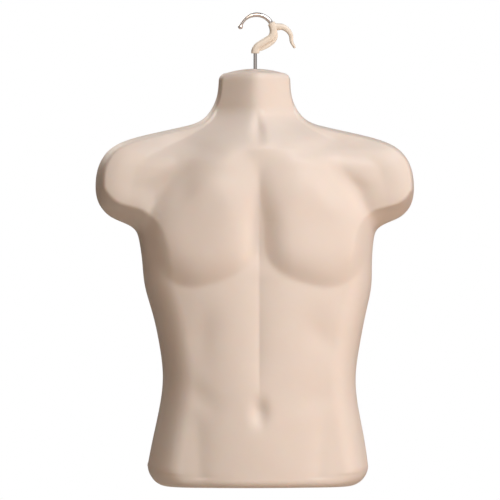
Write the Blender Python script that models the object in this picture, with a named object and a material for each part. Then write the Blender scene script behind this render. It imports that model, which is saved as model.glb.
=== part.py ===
# Hanging torso display form on a swivel hook with a side link arm.
# Metres, +Z up, front towards -Y.
# The origin is on the underside of the hook bow, straight above the stem, where a rail carries the hook.
# The stem's centre line is the Z axis, and the torso turns about it.

import math

import bmesh
import bpy
import numpy as np
from mathutils import Vector

MM = 0.001

# ---- torso shell: overall sizes ----
TORSO_HEIGHT = 585 * MM        # flat bottom to the peak of the neck cap
SHOULDER_WIDTH = 447 * MM      # across the shoulder stumps, the widest place
NECK_WIDTH = 100 * MM
CHEST_WIDTH = 321 * MM         # under the arms
WAIST_WIDTH = 268.6 * MM
HIP_WIDTH = 308 * MM
FLANK_SWAY = 7.8 * MM          # how far the sculpted waist lies towards +X, seen from its outline
SHELL_WALL = 2.6 * MM
RIM_LIP = 5.0 * MM             # how far the back rim turns inwards, past the wall
RIM_BEHIND_AXIS = 95 * MM      # the open back's plane, behind the stem
EDGE_BEHIND_AXIS = 24 * MM     # the widest outline's plane, behind the stem
RETURN_DRAFT = 5.0 * MM        # how much the side walls close in on their way to the back
BOTTOM_CORNER = 28 * MM        # radius of the bottom corners, seen from the front
BOTTOM_EDGE = 10 * MM          # radius between the front and the flat bottom
CAP_EDGE = 11 * MM             # radius between the neck and its cap
CAP_RISE = 6.0 * MM            # the cap's slope from its edge up to the stem
BOSS_RADIUS = 20 * MM          # flat thick place under the cap, for the washer
BOSS_DEPTH = 7.5 * MM          # from the cap's peak down to the boss's flat face
BOSS_SINK = 0.6                # share of the wall that the boss's top reaches up into

# ---- torso shell: front relief ----
RELIEF_WIDTH = 447             # the relief's own units: it is drawn in millimetres on a body
RELIEF_HEIGHT = 585            # this wide and this tall, and stretched with the sizes above
EDGE_ROUND = 46 * MM           # width of the rounding all along the outline
EDGE_DEPTH = 46 * MM           # depth of the same rounding
MID_FRONT = 40 * MM            # the body's usual fullness in front of that rounding

# ---- hook ----
STEM_DIAMETER = 4.8 * MM
BOW_DIAMETER = 6.4 * MM        # thickest, over the top of the bow
TIP_DIAMETER = 3.8 * MM        # thinnest, at the ball
BOW_RADIUS = 23.5 * MM         # centre line
BOW_OFFSET = 2.0 * MM          # bow's centre beside the stem
BOW_TIP_ANGLE = math.radians(157)  # where the rod ends and the ball begins
BEND_RADIUS = 12 * MM          # both bends between bow and stem
SLANT_ANGLE = math.radians(32)  # the slanting run between the bends, above level
STEM_LENGTH = 21.4 * MM        # bare stem, from the sleeve's foot down to the cap
BALL_DIAMETER = 6.8 * MM
TENON_DIAMETER = 2.2 * MM      # reduced end of the rod, inside the ball
TENON_LENGTH = 3.4 * MM
TENON_STEP = 0.05 * MM         # length of the step from the rod down to its tenon

# ---- sleeve with link arm ----
SLEEVE_WIDTH = 10.4 * MM       # in the hook's plane
SLEEVE_THICKNESS = 9.6 * MM    # front to back
SLEEVE_FOOT_WIDTH = 11.4 * MM  # at its lower end
SLEEVE_FOOT_STRAIGHT = 1.2 * MM  # of the sleeve, below the lower bend
SLEEVE_START_ANGLE = math.radians(30)  # where the bow goes into the sleeve
ARM_ROOT_RISE = 6.6 * MM       # the arm's centre line above the bow's centre, where it starts
ARM_DROP = 28.6 * MM           # the arm's tip below its root
ARM_REACH = 29.8 * MM          # the arm's tip beyond the bow's side
ARM_ROOT_DEPTH = 9.6 * MM
ARM_TIP_DEPTH = 4.0 * MM
ARM_ROOT_THICKNESS = 7.6 * MM
ARM_TIP_THICKNESS = 4.0 * MM

# ---- washer, nut and locking ring ----
WASHER_RADIUS = 16 * MM
WASHER_THICKNESS = 1.6 * MM
NUT_HEIGHT = 5.2 * MM
NUT_WALL = 0.7 * MM            # thinnest, between the ring's recess and a flat
INSERT_HEIGHT = 1.6 * MM
INSERT_WALL = 0.7 * MM
STEM_BEYOND_NUT = 2.5 * MM

# ---- clearances ----
GAP = 0.3 * MM                 # between pieces that touch
SWIVEL_GAP = 0.4 * MM          # around the stem, in the hole it turns in
CUT_MARGIN = 5 * MM            # how far a cutter runs out past what it cuts

# ---- mesh fineness ----
SHELL_ROWS = 46                # from the bottom corner to the cap edge
FRONT_STEPS = 10               # from the centre line to the outline
WALL_STEPS = 3                 # from the outline back to the rim
CAP_ROWS = 3
BOTTOM_ROWS = 3
CORNER_ROWS = 5                # round the bottom corner, and round the cap's edge
BEND_STEPS = 7                 # along each bend of the hook
OUTLINE_STEPS = 90             # along the side outline, where distances to it are measured
FINE_STEPS = 1200              # along the side outline, where the rows are shared out
ARM_STEPS = 22
BALL_STEPS = 12
ROD_SIDES = 16
SLEEVE_SIDES = 20
ROUND_SIDES = 24               # of the ball, the holes and the locking ring
BOSS_SIDES = 32
WASHER_SIDES = 40

# ---- heights that follow from the sizes above ----
BOW_INNER_RADIUS = BOW_RADIUS - BOW_DIAMETER / 2
BOW_CENTRE_Z = -math.sqrt(BOW_INNER_RADIUS ** 2 - BOW_OFFSET ** 2)
BOW_SIDE_X = BOW_OFFSET + BOW_RADIUS
BEND_TURN = math.pi / 2 - SLANT_ANGLE
BEND_ACROSS = BEND_RADIUS * (1 - math.cos(BEND_TURN))
BEND_DOWN = BEND_RADIUS * math.sin(BEND_TURN)
SLANT_LENGTH = (BOW_SIDE_X - 2 * BEND_ACROSS) / math.cos(SLANT_ANGLE)
BEND_END_Z = BOW_CENTRE_Z - 2 * BEND_DOWN - SLANT_LENGTH * math.sin(SLANT_ANGLE)
SLEEVE_FOOT_Z = BEND_END_Z - SLEEVE_FOOT_STRAIGHT
CAP_TOP_Z = SLEEVE_FOOT_Z - STEM_LENGTH
WASHER_TOP_Z = CAP_TOP_Z - BOSS_DEPTH - GAP
NUT_TOP_Z = WASHER_TOP_Z - WASHER_THICKNESS - GAP
STEM_END_Z = NUT_TOP_Z - NUT_HEIGHT - STEM_BEYOND_NUT


# ------------------------------------------------------------------ helpers

def clear_scene():
    for item in list(bpy.data.objects):
        bpy.data.objects.remove(item, do_unlink=True)


def make_material(name, colour, roughness, metallic=0.0):
    material = bpy.data.materials.new(name)
    material.use_nodes = True
    shader = material.node_tree.nodes["Principled BSDF"]
    shader.inputs["Base Color"].default_value = (*colour, 1.0)
    shader.inputs["Roughness"].default_value = roughness
    shader.inputs["Metallic"].default_value = metallic
    return material


def make_object(name, points, faces, material=None, parent=None, location=(0, 0, 0)):
    mesh = bpy.data.meshes.new(name)
    mesh.from_pydata([tuple(map(float, p)) for p in points], [], faces)
    mesh.validate()
    mesh.shade_smooth()
    mesh.set_sharp_from_angle(angle=math.radians(40))
    item = bpy.data.objects.new(name, mesh)
    item.location = location
    item.parent = parent
    bpy.context.collection.objects.link(item)
    if material:
        mesh.materials.append(material)
    return item


def make_empty(name, location=(0, 0, 0), parent=None):
    empty = bpy.data.objects.new(name, None)
    empty.location = location
    empty.parent = parent
    bpy.context.collection.objects.link(empty)
    return empty


def weld(item):
    """Joins points that lie on each other, such as a turned outline's points on the axis."""
    mesh = bmesh.new()
    mesh.from_mesh(item.data)
    bmesh.ops.remove_doubles(mesh, verts=mesh.verts, dist=0.01 * MM)
    loose = [edge for edge in mesh.edges if not edge.link_faces]
    bmesh.ops.delete(mesh, geom=loose, context="EDGES")
    mesh.to_mesh(item.data)
    mesh.free()


def cut_with(target, cutter, operation="DIFFERENCE"):
    cutter.hide_render = True
    cutter.display_type = "WIRE"
    boolean = target.modifiers.new(cutter.name, "BOOLEAN")
    boolean.operation = operation
    boolean.solver = "EXACT"
    boolean.object = cutter


def smooth_step(value, low, high):
    """0 below low, 1 above high, with a soft S between them."""
    share = np.clip((value - low) / (high - low), 0.0, 1.0)
    return share * share * (3 - 2 * share)


def smooth_through(stations, values):
    """A natural cubic through the values at the stations, as a function."""
    stations = np.asarray(stations, float)
    values = np.asarray(values, float)
    count = len(stations)
    steps = np.diff(stations)
    slopes = np.diff(values, axis=0) / (steps if values.ndim == 1 else steps[:, None])
    matrix = np.eye(count)
    right = np.zeros_like(values)
    for i in range(1, count - 1):
        matrix[i, i - 1:i + 2] = steps[i - 1], 2 * (steps[i - 1] + steps[i]), steps[i]
        right[i] = 6 * (slopes[i] - slopes[i - 1])
    bend = np.linalg.solve(matrix, right)

    def curve(at):
        at = np.asarray(at, float)
        i = np.clip(np.searchsorted(stations, at) - 1, 0, count - 2)
        step = steps[i]
        before = (stations[i + 1] - at) / step
        after = 1 - before
        if values.ndim > 1:
            step, before, after = (item[..., None] for item in (step, before, after))
        straight = values[i] * before + values[i + 1] * after
        bow = bend[i] * (before ** 3 - before) + bend[i + 1] * (after ** 3 - after)
        return straight + bow * step ** 2 / 6

    return curve


def along_lengths(points):
    """Distance along a line of points, from its first point to each point."""
    return np.concatenate([[0], np.cumsum(np.linalg.norm(np.diff(points, axis=0), axis=1))])


def ring_faces(rings, sides, capped=True):
    """Quads between rings of points, and a face at each end when capped."""
    faces = []
    for r in range(rings - 1):
        for s in range(sides):
            t = (s + 1) % sides
            faces.append((r * sides + s, r * sides + t, (r + 1) * sides + t, (r + 1) * sides + s))
    if capped:
        faces.append(tuple(reversed(range(sides))))
        faces.append(tuple((rings - 1) * sides + s for s in range(sides)))
    return faces


def swept(name, path, half_widths, half_depths, sides, material=None, parent=None):
    """A closed tube along a path in the hook's XZ plane, elliptical across.

    half_widths are in the plane and half_depths along Y.
    """
    path = np.asarray(path, float)
    tangent = np.gradient(path, axis=0)
    tangent /= np.linalg.norm(tangent, axis=1)[:, None]
    across = np.stack([-tangent[:, 2], np.zeros(len(path)), tangent[:, 0]], axis=1)
    angle = np.arange(sides) * 2 * math.pi / sides
    points = (path[:, None, :]
              + across[:, None, :] * (np.outer(half_widths, np.cos(angle)))[..., None]
              + np.array([0.0, -1.0, 0.0]) * (np.outer(half_depths, np.sin(angle)))[..., None])
    faces = ring_faces(len(path), sides)
    return make_object(name, points.reshape(-1, 3), faces, material, parent)


def turned(name, outline, sides, material=None, parent=None, location=(0, 0, 0)):
    """A closed ring turned about Z from a closed (radius, height) outline.

    The outline runs down its outer side and up its inner side.
    """
    outline = np.asarray(outline, float)
    angle = np.arange(sides) * 2 * math.pi / sides
    points = np.stack([np.outer(np.cos(angle), outline[:, 0]),
                       np.outer(np.sin(angle), outline[:, 0]),
                       np.tile(outline[:, 1], (sides, 1))], axis=-1)
    corners = len(outline)
    faces = []
    for s in range(sides):
        t = (s + 1) % sides
        for c in range(corners):
            d = (c + 1) % corners
            faces.append((s * corners + c, s * corners + d, t * corners + d, t * corners + c))
    item = make_object(name, points.reshape(-1, 3), faces, material, parent, location)
    weld(item)
    return item


# ------------------------------------------------------------------ torso shell

def side_curve():
    """Half width and height of the side outline, from the hip up to the neck.

    Heights are shares of TORSO_HEIGHT. Half widths go from one named width to the next.
    """
    hip, waist, chest = HIP_WIDTH / 2, WAIST_WIDTH / 2, CHEST_WIDTH / 2
    shoulder, neck = SHOULDER_WIDTH / 2, NECK_WIDTH / 2

    def between(low, high, share):
        return low + (high - low) * share

    stations = [
        (hip, BOTTOM_CORNER / TORSO_HEIGHT),
        (between(waist, hip, 0.72), 0.103),
        (between(waist, hip, 0.25), 0.181),
        (waist, 0.256),
        (between(waist, chest, 0.20), 0.337),
        (between(waist, chest, 0.60), 0.421),
        (between(waist, chest, 0.93), 0.484),
        (chest, 0.533),
        (between(chest, shoulder, 0.05), 0.585),
        (between(chest, shoulder, 0.135), 0.613),
        (between(chest, shoulder, 0.35), 0.629),
        (between(chest, shoulder, 0.72), 0.648),
        (between(chest, shoulder, 0.94), 0.677),
        (shoulder, 0.725),
        (between(neck, shoulder, 0.967), 0.770),
        (between(neck, shoulder, 0.885), 0.805),
        (between(neck, shoulder, 0.733), 0.829),
        (between(neck, shoulder, 0.560), 0.843),
        (between(neck, shoulder, 0.288), 0.861),
        (between(neck, shoulder, 0.128), 0.879),
        (between(neck, shoulder, 0.050), 0.907),
        (between(neck, shoulder, 0.012), 0.937),
        (neck, 1 - (CAP_EDGE + CAP_RISE) / TORSO_HEIGHT),
    ]
    points = np.array(stations) * (1.0, TORSO_HEIGHT)
    return smooth_through(along_lengths(points), points), along_lengths(points)[-1]


def outline_rows(rows):
    """Half widths and heights of the rows, closer together where the outline bends."""
    curve, length = side_curve()
    fine = curve(np.linspace(0, length, FINE_STEPS))
    heading = np.unwrap(np.arctan2(*np.gradient(fine, axis=0).T[::-1]))
    turning = np.abs(np.diff(heading, prepend=heading[0]))
    measure = along_lengths(fine) + np.cumsum(turning) * TORSO_HEIGHT / 12
    at = np.interp(np.linspace(0, measure[-1], rows), measure, np.linspace(0, length, FINE_STEPS))
    return curve(at)


def sway_at(height):
    """How far the outline lies towards +X at each height: most at the waist, nothing at the neck."""
    shares = smooth_through([0, 0.10, 0.24, 0.40, 0.52, 0.62, 0.72, 1.0],
                            [0.62, 0.86, 1, 1, 0.62, 0.34, 0.08, 0])
    return FLANK_SWAY * shares(height / TORSO_HEIGHT)


def distance_inside(across, height, outline):
    """Distance from each place on the front to the nearest point of the side outline."""
    nearest = np.full(across.shape, np.inf)
    for start, end in zip(outline[:-1], outline[1:]):
        run = end - start
        share = ((across - start[0]) * run[0] + (height - start[1]) * run[1]) / (run @ run)
        share = np.clip(share, 0, 1)
        away = np.hypot(across - start[0] - share * run[0], height - start[1] - share * run[1])
        nearest = np.minimum(nearest, away)
    return nearest


def mound(across, up, centre, reach):
    """1 at the centre, fading to nothing over the reach each way."""
    return np.exp(-((across - centre[0]) / reach[0]) ** 2 - ((up - centre[1]) / reach[1]) ** 2)


def along_line(across, up, start, end, width):
    """1 on the line from start to end, fading sideways over the width."""
    run = np.subtract(end, start)
    share = ((across - start[0]) * run[0] + (up - start[1]) * run[1]) / (run @ run)
    share = np.clip(share, 0, 1)
    away = np.hypot(across - start[0] - share * run[0], up - start[1] - share * run[1])
    return np.exp(-(away / width) ** 2)


def body_relief(across, up):
    """Muscles and bones of the front, in millimetres.

    across and up are in millimetres on a body RELIEF_WIDTH wide and RELIEF_HEIGHT tall.
    """
    under_pec = np.interp(across, [0, 15, 45, 80, 110, 135, 150, 175],
                          [308, 298, 290, 287, 290, 310, 332, 380])
    chest = mound(across, up, (84, 372), (66, 82)) * smooth_step(up, under_pec - 8, under_pec + 34)
    relief = 17 * chest
    relief += 9 * mound(across, up, (182, 432), (34, 46))
    relief -= 6 * along_line(across, up, (104, 464), (156, 388), 10)
    relief -= 5.5 * along_line(across, up, (0, 424), (0, 306), 13)
    relief += 3.5 * along_line(across, up, (22, 463), (108, 477), 8)
    relief -= 5 * along_line(across, up, (48, 482), (118, 492), 11)
    relief -= 6 * along_line(across, up, (0, 512), (0, 478), 7)
    relief += 4 * along_line(across, up, (15, 520), (12, 480), 8)
    relief -= 2.6 * along_line(across, up, (0, 286), (0, 140), 9)
    relief -= 6 * mound(across, up, (0, 115), (9, 17))
    relief -= 3 * along_line(across, up, (118, 142), (88, 130), 10)
    relief -= 3 * along_line(across, up, (88, 130), (46, 104), 10)
    relief += 4 * along_line(across, up, (100, 132), (130, 40), 18)
    relief -= 2 * along_line(across, up, (82, 270), (76, 160), 14)
    return relief


def front_depth(across, height, outline):
    """How far the front stands forward of the widest outline's plane.

    A quarter round runs along the whole outline. Inside it the body crowns towards the centre line,
    and the relief lies on top.
    """
    body = TORSO_HEIGHT
    inside = np.clip(distance_inside(across, height, outline) / EDGE_ROUND, 0, 1)
    rounding = np.sqrt(1 - (1 - inside) ** 2)
    crown_height = smooth_through([0, 0.10, 0.26, 0.45, 0.62, 0.72, 0.82, 0.88, 0.93, 1.0],
                                  np.array([41, 45, 44, 50, 56, 55, 40, 24, 17, 14]) * MM)
    crown_width = smooth_through([0, 0.256, 0.50, 0.70, 0.84, 0.90, 1.0],
                                 np.array([HIP_WIDTH, WAIST_WIDTH, CHEST_WIDTH, CHEST_WIDTH * 1.12,
                                           CHEST_WIDTH * 0.95, NECK_WIDTH * 1.2, NECK_WIDTH]) / 2)
    share = np.clip(across / crown_width(height / body), 0, 1)
    crown = crown_height(height / body) * (1 - share ** 2) ** 1.5
    across_mm = across * RELIEF_WIDTH / SHOULDER_WIDTH
    up_mm = height * RELIEF_HEIGHT / body
    relief = body_relief(across_mm, up_mm) * MM * inside ** 0.5
    return EDGE_DEPTH * rounding + crown + relief


def shell_rows():
    """Every row of the shell's skin from the bottom's middle up to the cap's middle.

    Gives, for each row, its half width, its height, the half width that its front shape is read at,
    and how much of the front's depth it keeps.
    """
    rows = []
    hip, neck = HIP_WIDTH / 2, NECK_WIDTH / 2
    front = EDGE_DEPTH + MID_FRONT

    def front_keep(height):
        up = min(height, BOTTOM_EDGE)
        inset = BOTTOM_EDGE - math.sqrt(BOTTOM_EDGE ** 2 - (BOTTOM_EDGE - up) ** 2)
        return 1 - inset / front

    for share in np.linspace(0, 1, BOTTOM_ROWS, endpoint=False):
        rows.append(((hip - BOTTOM_CORNER) * share, 0.0, hip, front_keep(0) * share))
    for angle in np.linspace(0, math.pi / 2, CORNER_ROWS, endpoint=False):
        height = BOTTOM_CORNER * (1 - math.cos(angle))
        rows.append((hip - BOTTOM_CORNER * (1 - math.sin(angle)), height, hip, front_keep(height)))
    for half_width, height in outline_rows(SHELL_ROWS):
        rows.append((half_width, height, half_width, 1.0))
    edge_start = TORSO_HEIGHT - CAP_EDGE - CAP_RISE
    inner = neck - CAP_EDGE
    for angle in np.linspace(0, math.pi / 2, CORNER_ROWS)[1:]:
        inset = CAP_EDGE * (1 - math.cos(angle))
        rows.append((neck - inset, edge_start + CAP_EDGE * math.sin(angle), neck, 1 - inset / front))
    for share in np.linspace(1, 0, CAP_ROWS + 1)[1:]:
        height = TORSO_HEIGHT - CAP_RISE * share ** 2
        rows.append((inner * share, height, neck, (1 - CAP_EDGE / front) * share))
    return np.array(rows)


def shell_skin():
    """The shell's outer skin as a grid of points, rows by places along the row.

    Each row goes from the lip at one side of the open back, round the front, to the other lip. The sway
    moves the outline and the walls fully, and the front less and less towards the centre line.
    """
    rows = shell_rows()
    half_width, height, read_width, keep = rows.T
    curve, length = side_curve()
    side = curve(np.linspace(0, length, OUTLINE_STEPS))
    outline = np.vstack([side[0] - (0, BOTTOM_CORNER), side, side[-1] + (0, CAP_EDGE + CAP_RISE)])
    share = np.sin(np.linspace(0, math.pi / 2, FRONT_STEPS + 1))
    depth = front_depth(np.outer(read_width, share), height[:, None] + 0 * share, outline)
    depth[:, -1] = 0
    front_x = np.outer(half_width, share)
    front_y = EDGE_BEHIND_AXIS - depth * keep[:, None]

    back = np.linspace(0, 1, WALL_STEPS + 1)[1:]
    draft = RETURN_DRAFT * half_width / (SHOULDER_WIDTH / 2)
    wall_x = half_width[:, None] - np.outer(draft, back)
    wall_y = EDGE_BEHIND_AXIS + back * (RIM_BEHIND_AXIS - EDGE_BEHIND_AXIS)
    wall_y = np.broadcast_to(wall_y, wall_x.shape)

    heading = np.gradient(np.stack([half_width, height], axis=1), axis=0)
    heading /= np.linalg.norm(heading, axis=1)[:, None]
    inward = np.stack([-heading[:, 1], heading[:, 0]], axis=1)
    inward[0] = (0, 1)
    inward[-1] = (0, -1)
    lip_x = wall_x[:, -1] + inward[:, 0] * (RIM_LIP + SHELL_WALL)
    lip_z = height + inward[:, 1] * (RIM_LIP + SHELL_WALL)

    half_x = np.hstack([front_x, wall_x, lip_x[:, None]])
    half_y = np.hstack([front_y, wall_y, np.full((len(rows), 1), RIM_BEHIND_AXIS)])
    half_z = np.hstack([np.broadcast_to(height[:, None], (len(rows), FRONT_STEPS + 1 + WALL_STEPS)),
                        lip_z[:, None]])
    right = np.stack([half_x, half_y, half_z], axis=-1)
    left = right[:, :0:-1] * (-1, 1, 1)
    skin = np.concatenate([left, right], axis=1)
    outline_share = np.abs(skin[..., 0]) / np.maximum(half_width, GAP)[:, None]
    skin[..., 0] += sway_at(height)[:, None] * np.clip(outline_share, 0, 1) ** 2
    return skin


def make_torso(material, parent):
    """The moulded shell: the skin given its wall, a boss under the cap and the stem's hole."""
    grid = shell_skin() - (0, 0, TORSO_HEIGHT)
    rows, columns, _ = grid.shape
    faces = []
    for r in range(rows - 1):
        for c in range(columns - 1):
            at = r * columns + c
            faces.append((at, at + 1, at + columns + 1, at + columns))
    shell = make_object("torso_shell", grid.reshape(-1, 3), faces, material, parent)
    weld(shell)
    skin = bmesh.new()
    skin.from_mesh(shell.data)
    bmesh.ops.recalc_face_normals(skin, faces=skin.faces)
    foremost = min(skin.faces, key=lambda face: face.calc_center_median().y)
    if foremost.normal.y > 0:
        bmesh.ops.reverse_faces(skin, faces=skin.faces)
    skin.to_mesh(shell.data)
    skin.free()
    shell.data.shade_smooth()
    wall = shell.modifiers.new("wall", "SOLIDIFY")
    wall.thickness = SHELL_WALL
    wall.offset = -1
    wall.use_even_offset = True

    boss_top = -SHELL_WALL * BOSS_SINK - CAP_RISE * (BOSS_RADIUS / (NECK_WIDTH / 2 - CAP_EDGE)) ** 2
    boss = turned("cap_boss", solid_outline(BOSS_RADIUS, boss_top, -BOSS_DEPTH), BOSS_SIDES, None, parent)
    cut_with(shell, boss, "UNION")
    hole_radius = STEM_DIAMETER / 2 + SWIVEL_GAP
    hole_outline = solid_outline(hole_radius, CUT_MARGIN, -BOSS_DEPTH - CUT_MARGIN)
    hole = turned("stem_hole", hole_outline, ROUND_SIDES, None, parent)
    cut_with(shell, hole)
    return shell


def solid_outline(radius, top, bottom):
    """Outline of a plain disc for turned(): its centre line is closed by a point at each end."""
    return [(0, top), (radius, top), (radius, bottom), (0, bottom)]


# ------------------------------------------------------------------ hook and sleeve

def hook_path(start_angle, end_z):
    """Centre line from an angle on the bow, through both bends, down the stem to end_z."""
    bow_steps = max(4, round(BEND_STEPS * start_angle))
    points = [(BOW_OFFSET + BOW_RADIUS * math.cos(a), 0.0, BOW_CENTRE_Z + BOW_RADIUS * math.sin(a))
              for a in np.linspace(start_angle, 0, bow_steps, endpoint=False)]
    centre_x = BOW_SIDE_X - BEND_RADIUS
    for turn in np.linspace(0, BEND_TURN, BEND_STEPS):
        points.append((centre_x + BEND_RADIUS * math.cos(turn), 0.0,
                       BOW_CENTRE_Z - BEND_RADIUS * math.sin(turn)))
    for turn in np.linspace(BEND_TURN, 0, BEND_STEPS):
        points.append((BEND_RADIUS * (1 - math.cos(turn)), 0.0,
                       BEND_END_Z + BEND_RADIUS * math.sin(turn)))
    points.append((0.0, 0.0, end_z))
    return np.array(points)


def rod_radius(path):
    """Thin at the ball, thickest over the top of the bow, stem size from the lower bend down."""
    beside = path[:, 0] - BOW_OFFSET
    share_to_top = smooth_step(beside, -BOW_RADIUS, 0)
    bow = TIP_DIAMETER + (BOW_DIAMETER - TIP_DIAMETER) * share_to_top
    below = smooth_step(-path[:, 2], -BOW_CENTRE_Z, -BEND_END_Z - BEND_DOWN)
    return (bow + (STEM_DIAMETER - bow) * below) / 2


def make_rod(material, parent):
    path = hook_path(BOW_TIP_ANGLE, STEM_END_Z)
    radius = rod_radius(path)
    towards_tip = path[0] - path[1]
    towards_tip /= np.linalg.norm(towards_tip)
    shoulder = path[0] + towards_tip * TENON_STEP
    tenon_end = path[0] + towards_tip * TENON_LENGTH
    path = np.vstack([tenon_end, shoulder, path])
    radius = np.concatenate([[TENON_DIAMETER / 2] * 2, radius])
    return swept("hook_rod", path, radius, radius, ROD_SIDES, material, parent)


def make_ball(material, parent):
    """Ball with a blind hole for the rod's tenon; its own Z runs along the rod's end."""
    path = hook_path(BOW_TIP_ANGLE, STEM_END_Z)
    towards_tip = Vector(path[0] - path[1]).normalized()
    radius = BALL_DIAMETER / 2
    hole = TENON_DIAMETER / 2 + GAP
    mouth = math.sqrt(radius ** 2 - (TIP_DIAMETER / 2 + GAP) ** 2)
    hole_floor = -mouth + TENON_LENGTH
    arc = [(radius * math.cos(a), radius * math.sin(a))
           for a in np.linspace(math.pi / 2, -math.asin(mouth / radius), BALL_STEPS)]
    outline = arc + [(hole, -mouth), (hole, hole_floor), (0, hole_floor)]
    ball = turned("tip_ball", outline, ROUND_SIDES, material, parent)
    ball.rotation_mode = "QUATERNION"
    ball.rotation_quaternion = towards_tip.to_track_quat("Z", "Y")
    ball.location = Vector(path[0]) + towards_tip * (mouth + GAP)
    return ball


def arm_path():
    """Centre line of the link arm: out level, over in a hook, down, and a flick out at the tip."""
    root_z = BOW_CENTRE_Z + ARM_ROOT_RISE
    shares = [(0.0, 0.0), (0.20, 0.0), (0.40, 0.0), (0.57, -0.08), (0.73, -0.23),
              (0.83, -0.43), (0.85, -0.68), (0.91, -0.85), (1.0, -1.0)]
    points = np.array([(BOW_SIDE_X + x * ARM_REACH, 0.0, root_z + z * ARM_DROP) for x, z in shares])
    lengths = along_lengths(points)
    return smooth_through(lengths, points)(np.linspace(0, lengths[-1], ARM_STEPS))


def make_sleeve(material, parent):
    path = hook_path(SLEEVE_START_ANGLE, SLEEVE_FOOT_Z)
    foot = smooth_step(-path[:, 2], -BEND_END_Z - BEND_DOWN, -BEND_END_Z)
    half_width = (SLEEVE_WIDTH + (SLEEVE_FOOT_WIDTH - SLEEVE_WIDTH) * foot) / 2
    half_depth = np.full(len(path), SLEEVE_THICKNESS / 2)
    sleeve = swept("link_sleeve", path, half_width, half_depth, SLEEVE_SIDES, material, parent)

    arm_line = arm_path()
    share = np.linspace(0, 1, len(arm_line))
    arm = swept("link_arm", arm_line,
                (ARM_ROOT_DEPTH + (ARM_TIP_DEPTH - ARM_ROOT_DEPTH) * share) / 2,
                (ARM_ROOT_THICKNESS + (ARM_TIP_THICKNESS - ARM_ROOT_THICKNESS) * share) / 2,
                ROD_SIDES, None, parent)
    cut_with(sleeve, arm, "UNION")

    bore_path = hook_path(SLEEVE_START_ANGLE + CUT_MARGIN / BOW_RADIUS, SLEEVE_FOOT_Z - CUT_MARGIN)
    bore_radius = rod_radius(bore_path) + GAP
    bore = swept("sleeve_bore", bore_path, bore_radius, bore_radius, ROD_SIDES, None, parent)
    cut_with(sleeve, bore)
    return sleeve


# ------------------------------------------------------------------ washer, nut, locking ring

def make_washer(material, parent):
    hole = STEM_DIAMETER / 2 + GAP
    outline = [(WASHER_RADIUS, 0), (WASHER_RADIUS, -WASHER_THICKNESS), (hole, -WASHER_THICKNESS), (hole, 0)]
    return turned("cap_washer", outline, WASHER_SIDES, material, parent, (0, 0, WASHER_TOP_Z))


def make_nut(material, parent):
    """Hexagon nut with a recess at its lower end for the locking ring."""
    hole = STEM_DIAMETER / 2 + GAP
    recess = hole + INSERT_WALL + GAP
    corner = (recess + NUT_WALL) * 2 / math.sqrt(3)
    nut = turned("lock_nut", solid_outline(corner, 0, -NUT_HEIGHT), 6, material, parent, (0, 0, NUT_TOP_Z))
    floor = -NUT_HEIGHT + INSERT_HEIGHT + GAP
    below = -NUT_HEIGHT - CUT_MARGIN
    bore_outline = [(0, CUT_MARGIN), (hole, CUT_MARGIN), (hole, floor), (recess, floor), (recess, below),
                    (0, below)]
    cut_with(nut, turned("nut_bore", bore_outline, ROUND_SIDES, None, parent, (0, 0, NUT_TOP_Z)))
    return nut


def make_insert(material, parent):
    inner = STEM_DIAMETER / 2 + GAP
    outer = inner + INSERT_WALL
    outline = [(outer, 0), (outer, -INSERT_HEIGHT), (inner, -INSERT_HEIGHT), (inner, 0)]
    top = NUT_TOP_Z - NUT_HEIGHT + INSERT_HEIGHT
    return turned("nut_insert", outline, ROUND_SIDES, material, parent, (0, 0, top))


def build():
    clear_scene()
    flesh = make_material("flesh_plastic", (0.72, 0.56, 0.46), 0.45)
    chrome = make_material("chrome_plate", (0.80, 0.80, 0.82), 0.10, 1.0)
    cream = make_material("cream_plastic", (0.74, 0.63, 0.50), 0.40)
    zinc = make_material("zinc_plate", (0.62, 0.63, 0.65), 0.32, 1.0)
    nylon = make_material("nylon", (0.75, 0.76, 0.72), 0.50)

    hook = make_empty("hook_frame")
    swivel = make_empty("swivel_axis", (0, 0, CAP_TOP_Z))
    make_rod(chrome, hook)
    make_ball(chrome, hook)
    make_sleeve(cream, hook)
    make_washer(zinc, hook)
    make_nut(zinc, hook)
    make_insert(nylon, hook)
    make_torso(flesh, swivel)


build()
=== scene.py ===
import math

import bmesh
import bpy
import numpy as np
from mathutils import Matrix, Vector


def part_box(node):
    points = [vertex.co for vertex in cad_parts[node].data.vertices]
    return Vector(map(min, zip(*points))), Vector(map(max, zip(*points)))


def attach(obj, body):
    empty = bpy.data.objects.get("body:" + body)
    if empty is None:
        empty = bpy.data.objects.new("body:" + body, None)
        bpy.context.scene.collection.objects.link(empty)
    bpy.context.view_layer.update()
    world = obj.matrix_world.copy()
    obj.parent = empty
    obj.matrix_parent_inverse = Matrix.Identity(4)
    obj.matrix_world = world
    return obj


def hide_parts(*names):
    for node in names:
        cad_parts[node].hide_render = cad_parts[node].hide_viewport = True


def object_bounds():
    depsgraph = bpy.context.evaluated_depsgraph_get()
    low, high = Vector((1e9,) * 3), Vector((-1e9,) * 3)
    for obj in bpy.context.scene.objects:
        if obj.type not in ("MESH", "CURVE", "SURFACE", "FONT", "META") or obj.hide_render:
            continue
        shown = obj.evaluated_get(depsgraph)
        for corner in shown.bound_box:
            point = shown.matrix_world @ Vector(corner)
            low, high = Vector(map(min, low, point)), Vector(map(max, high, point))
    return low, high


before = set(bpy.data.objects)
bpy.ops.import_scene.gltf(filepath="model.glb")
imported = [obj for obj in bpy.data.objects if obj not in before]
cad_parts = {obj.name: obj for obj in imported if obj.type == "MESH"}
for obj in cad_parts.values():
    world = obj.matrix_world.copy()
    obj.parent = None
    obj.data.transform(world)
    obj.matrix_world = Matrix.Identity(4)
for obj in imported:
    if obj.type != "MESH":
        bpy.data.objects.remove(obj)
cadBox = [list(corner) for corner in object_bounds()]

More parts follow.
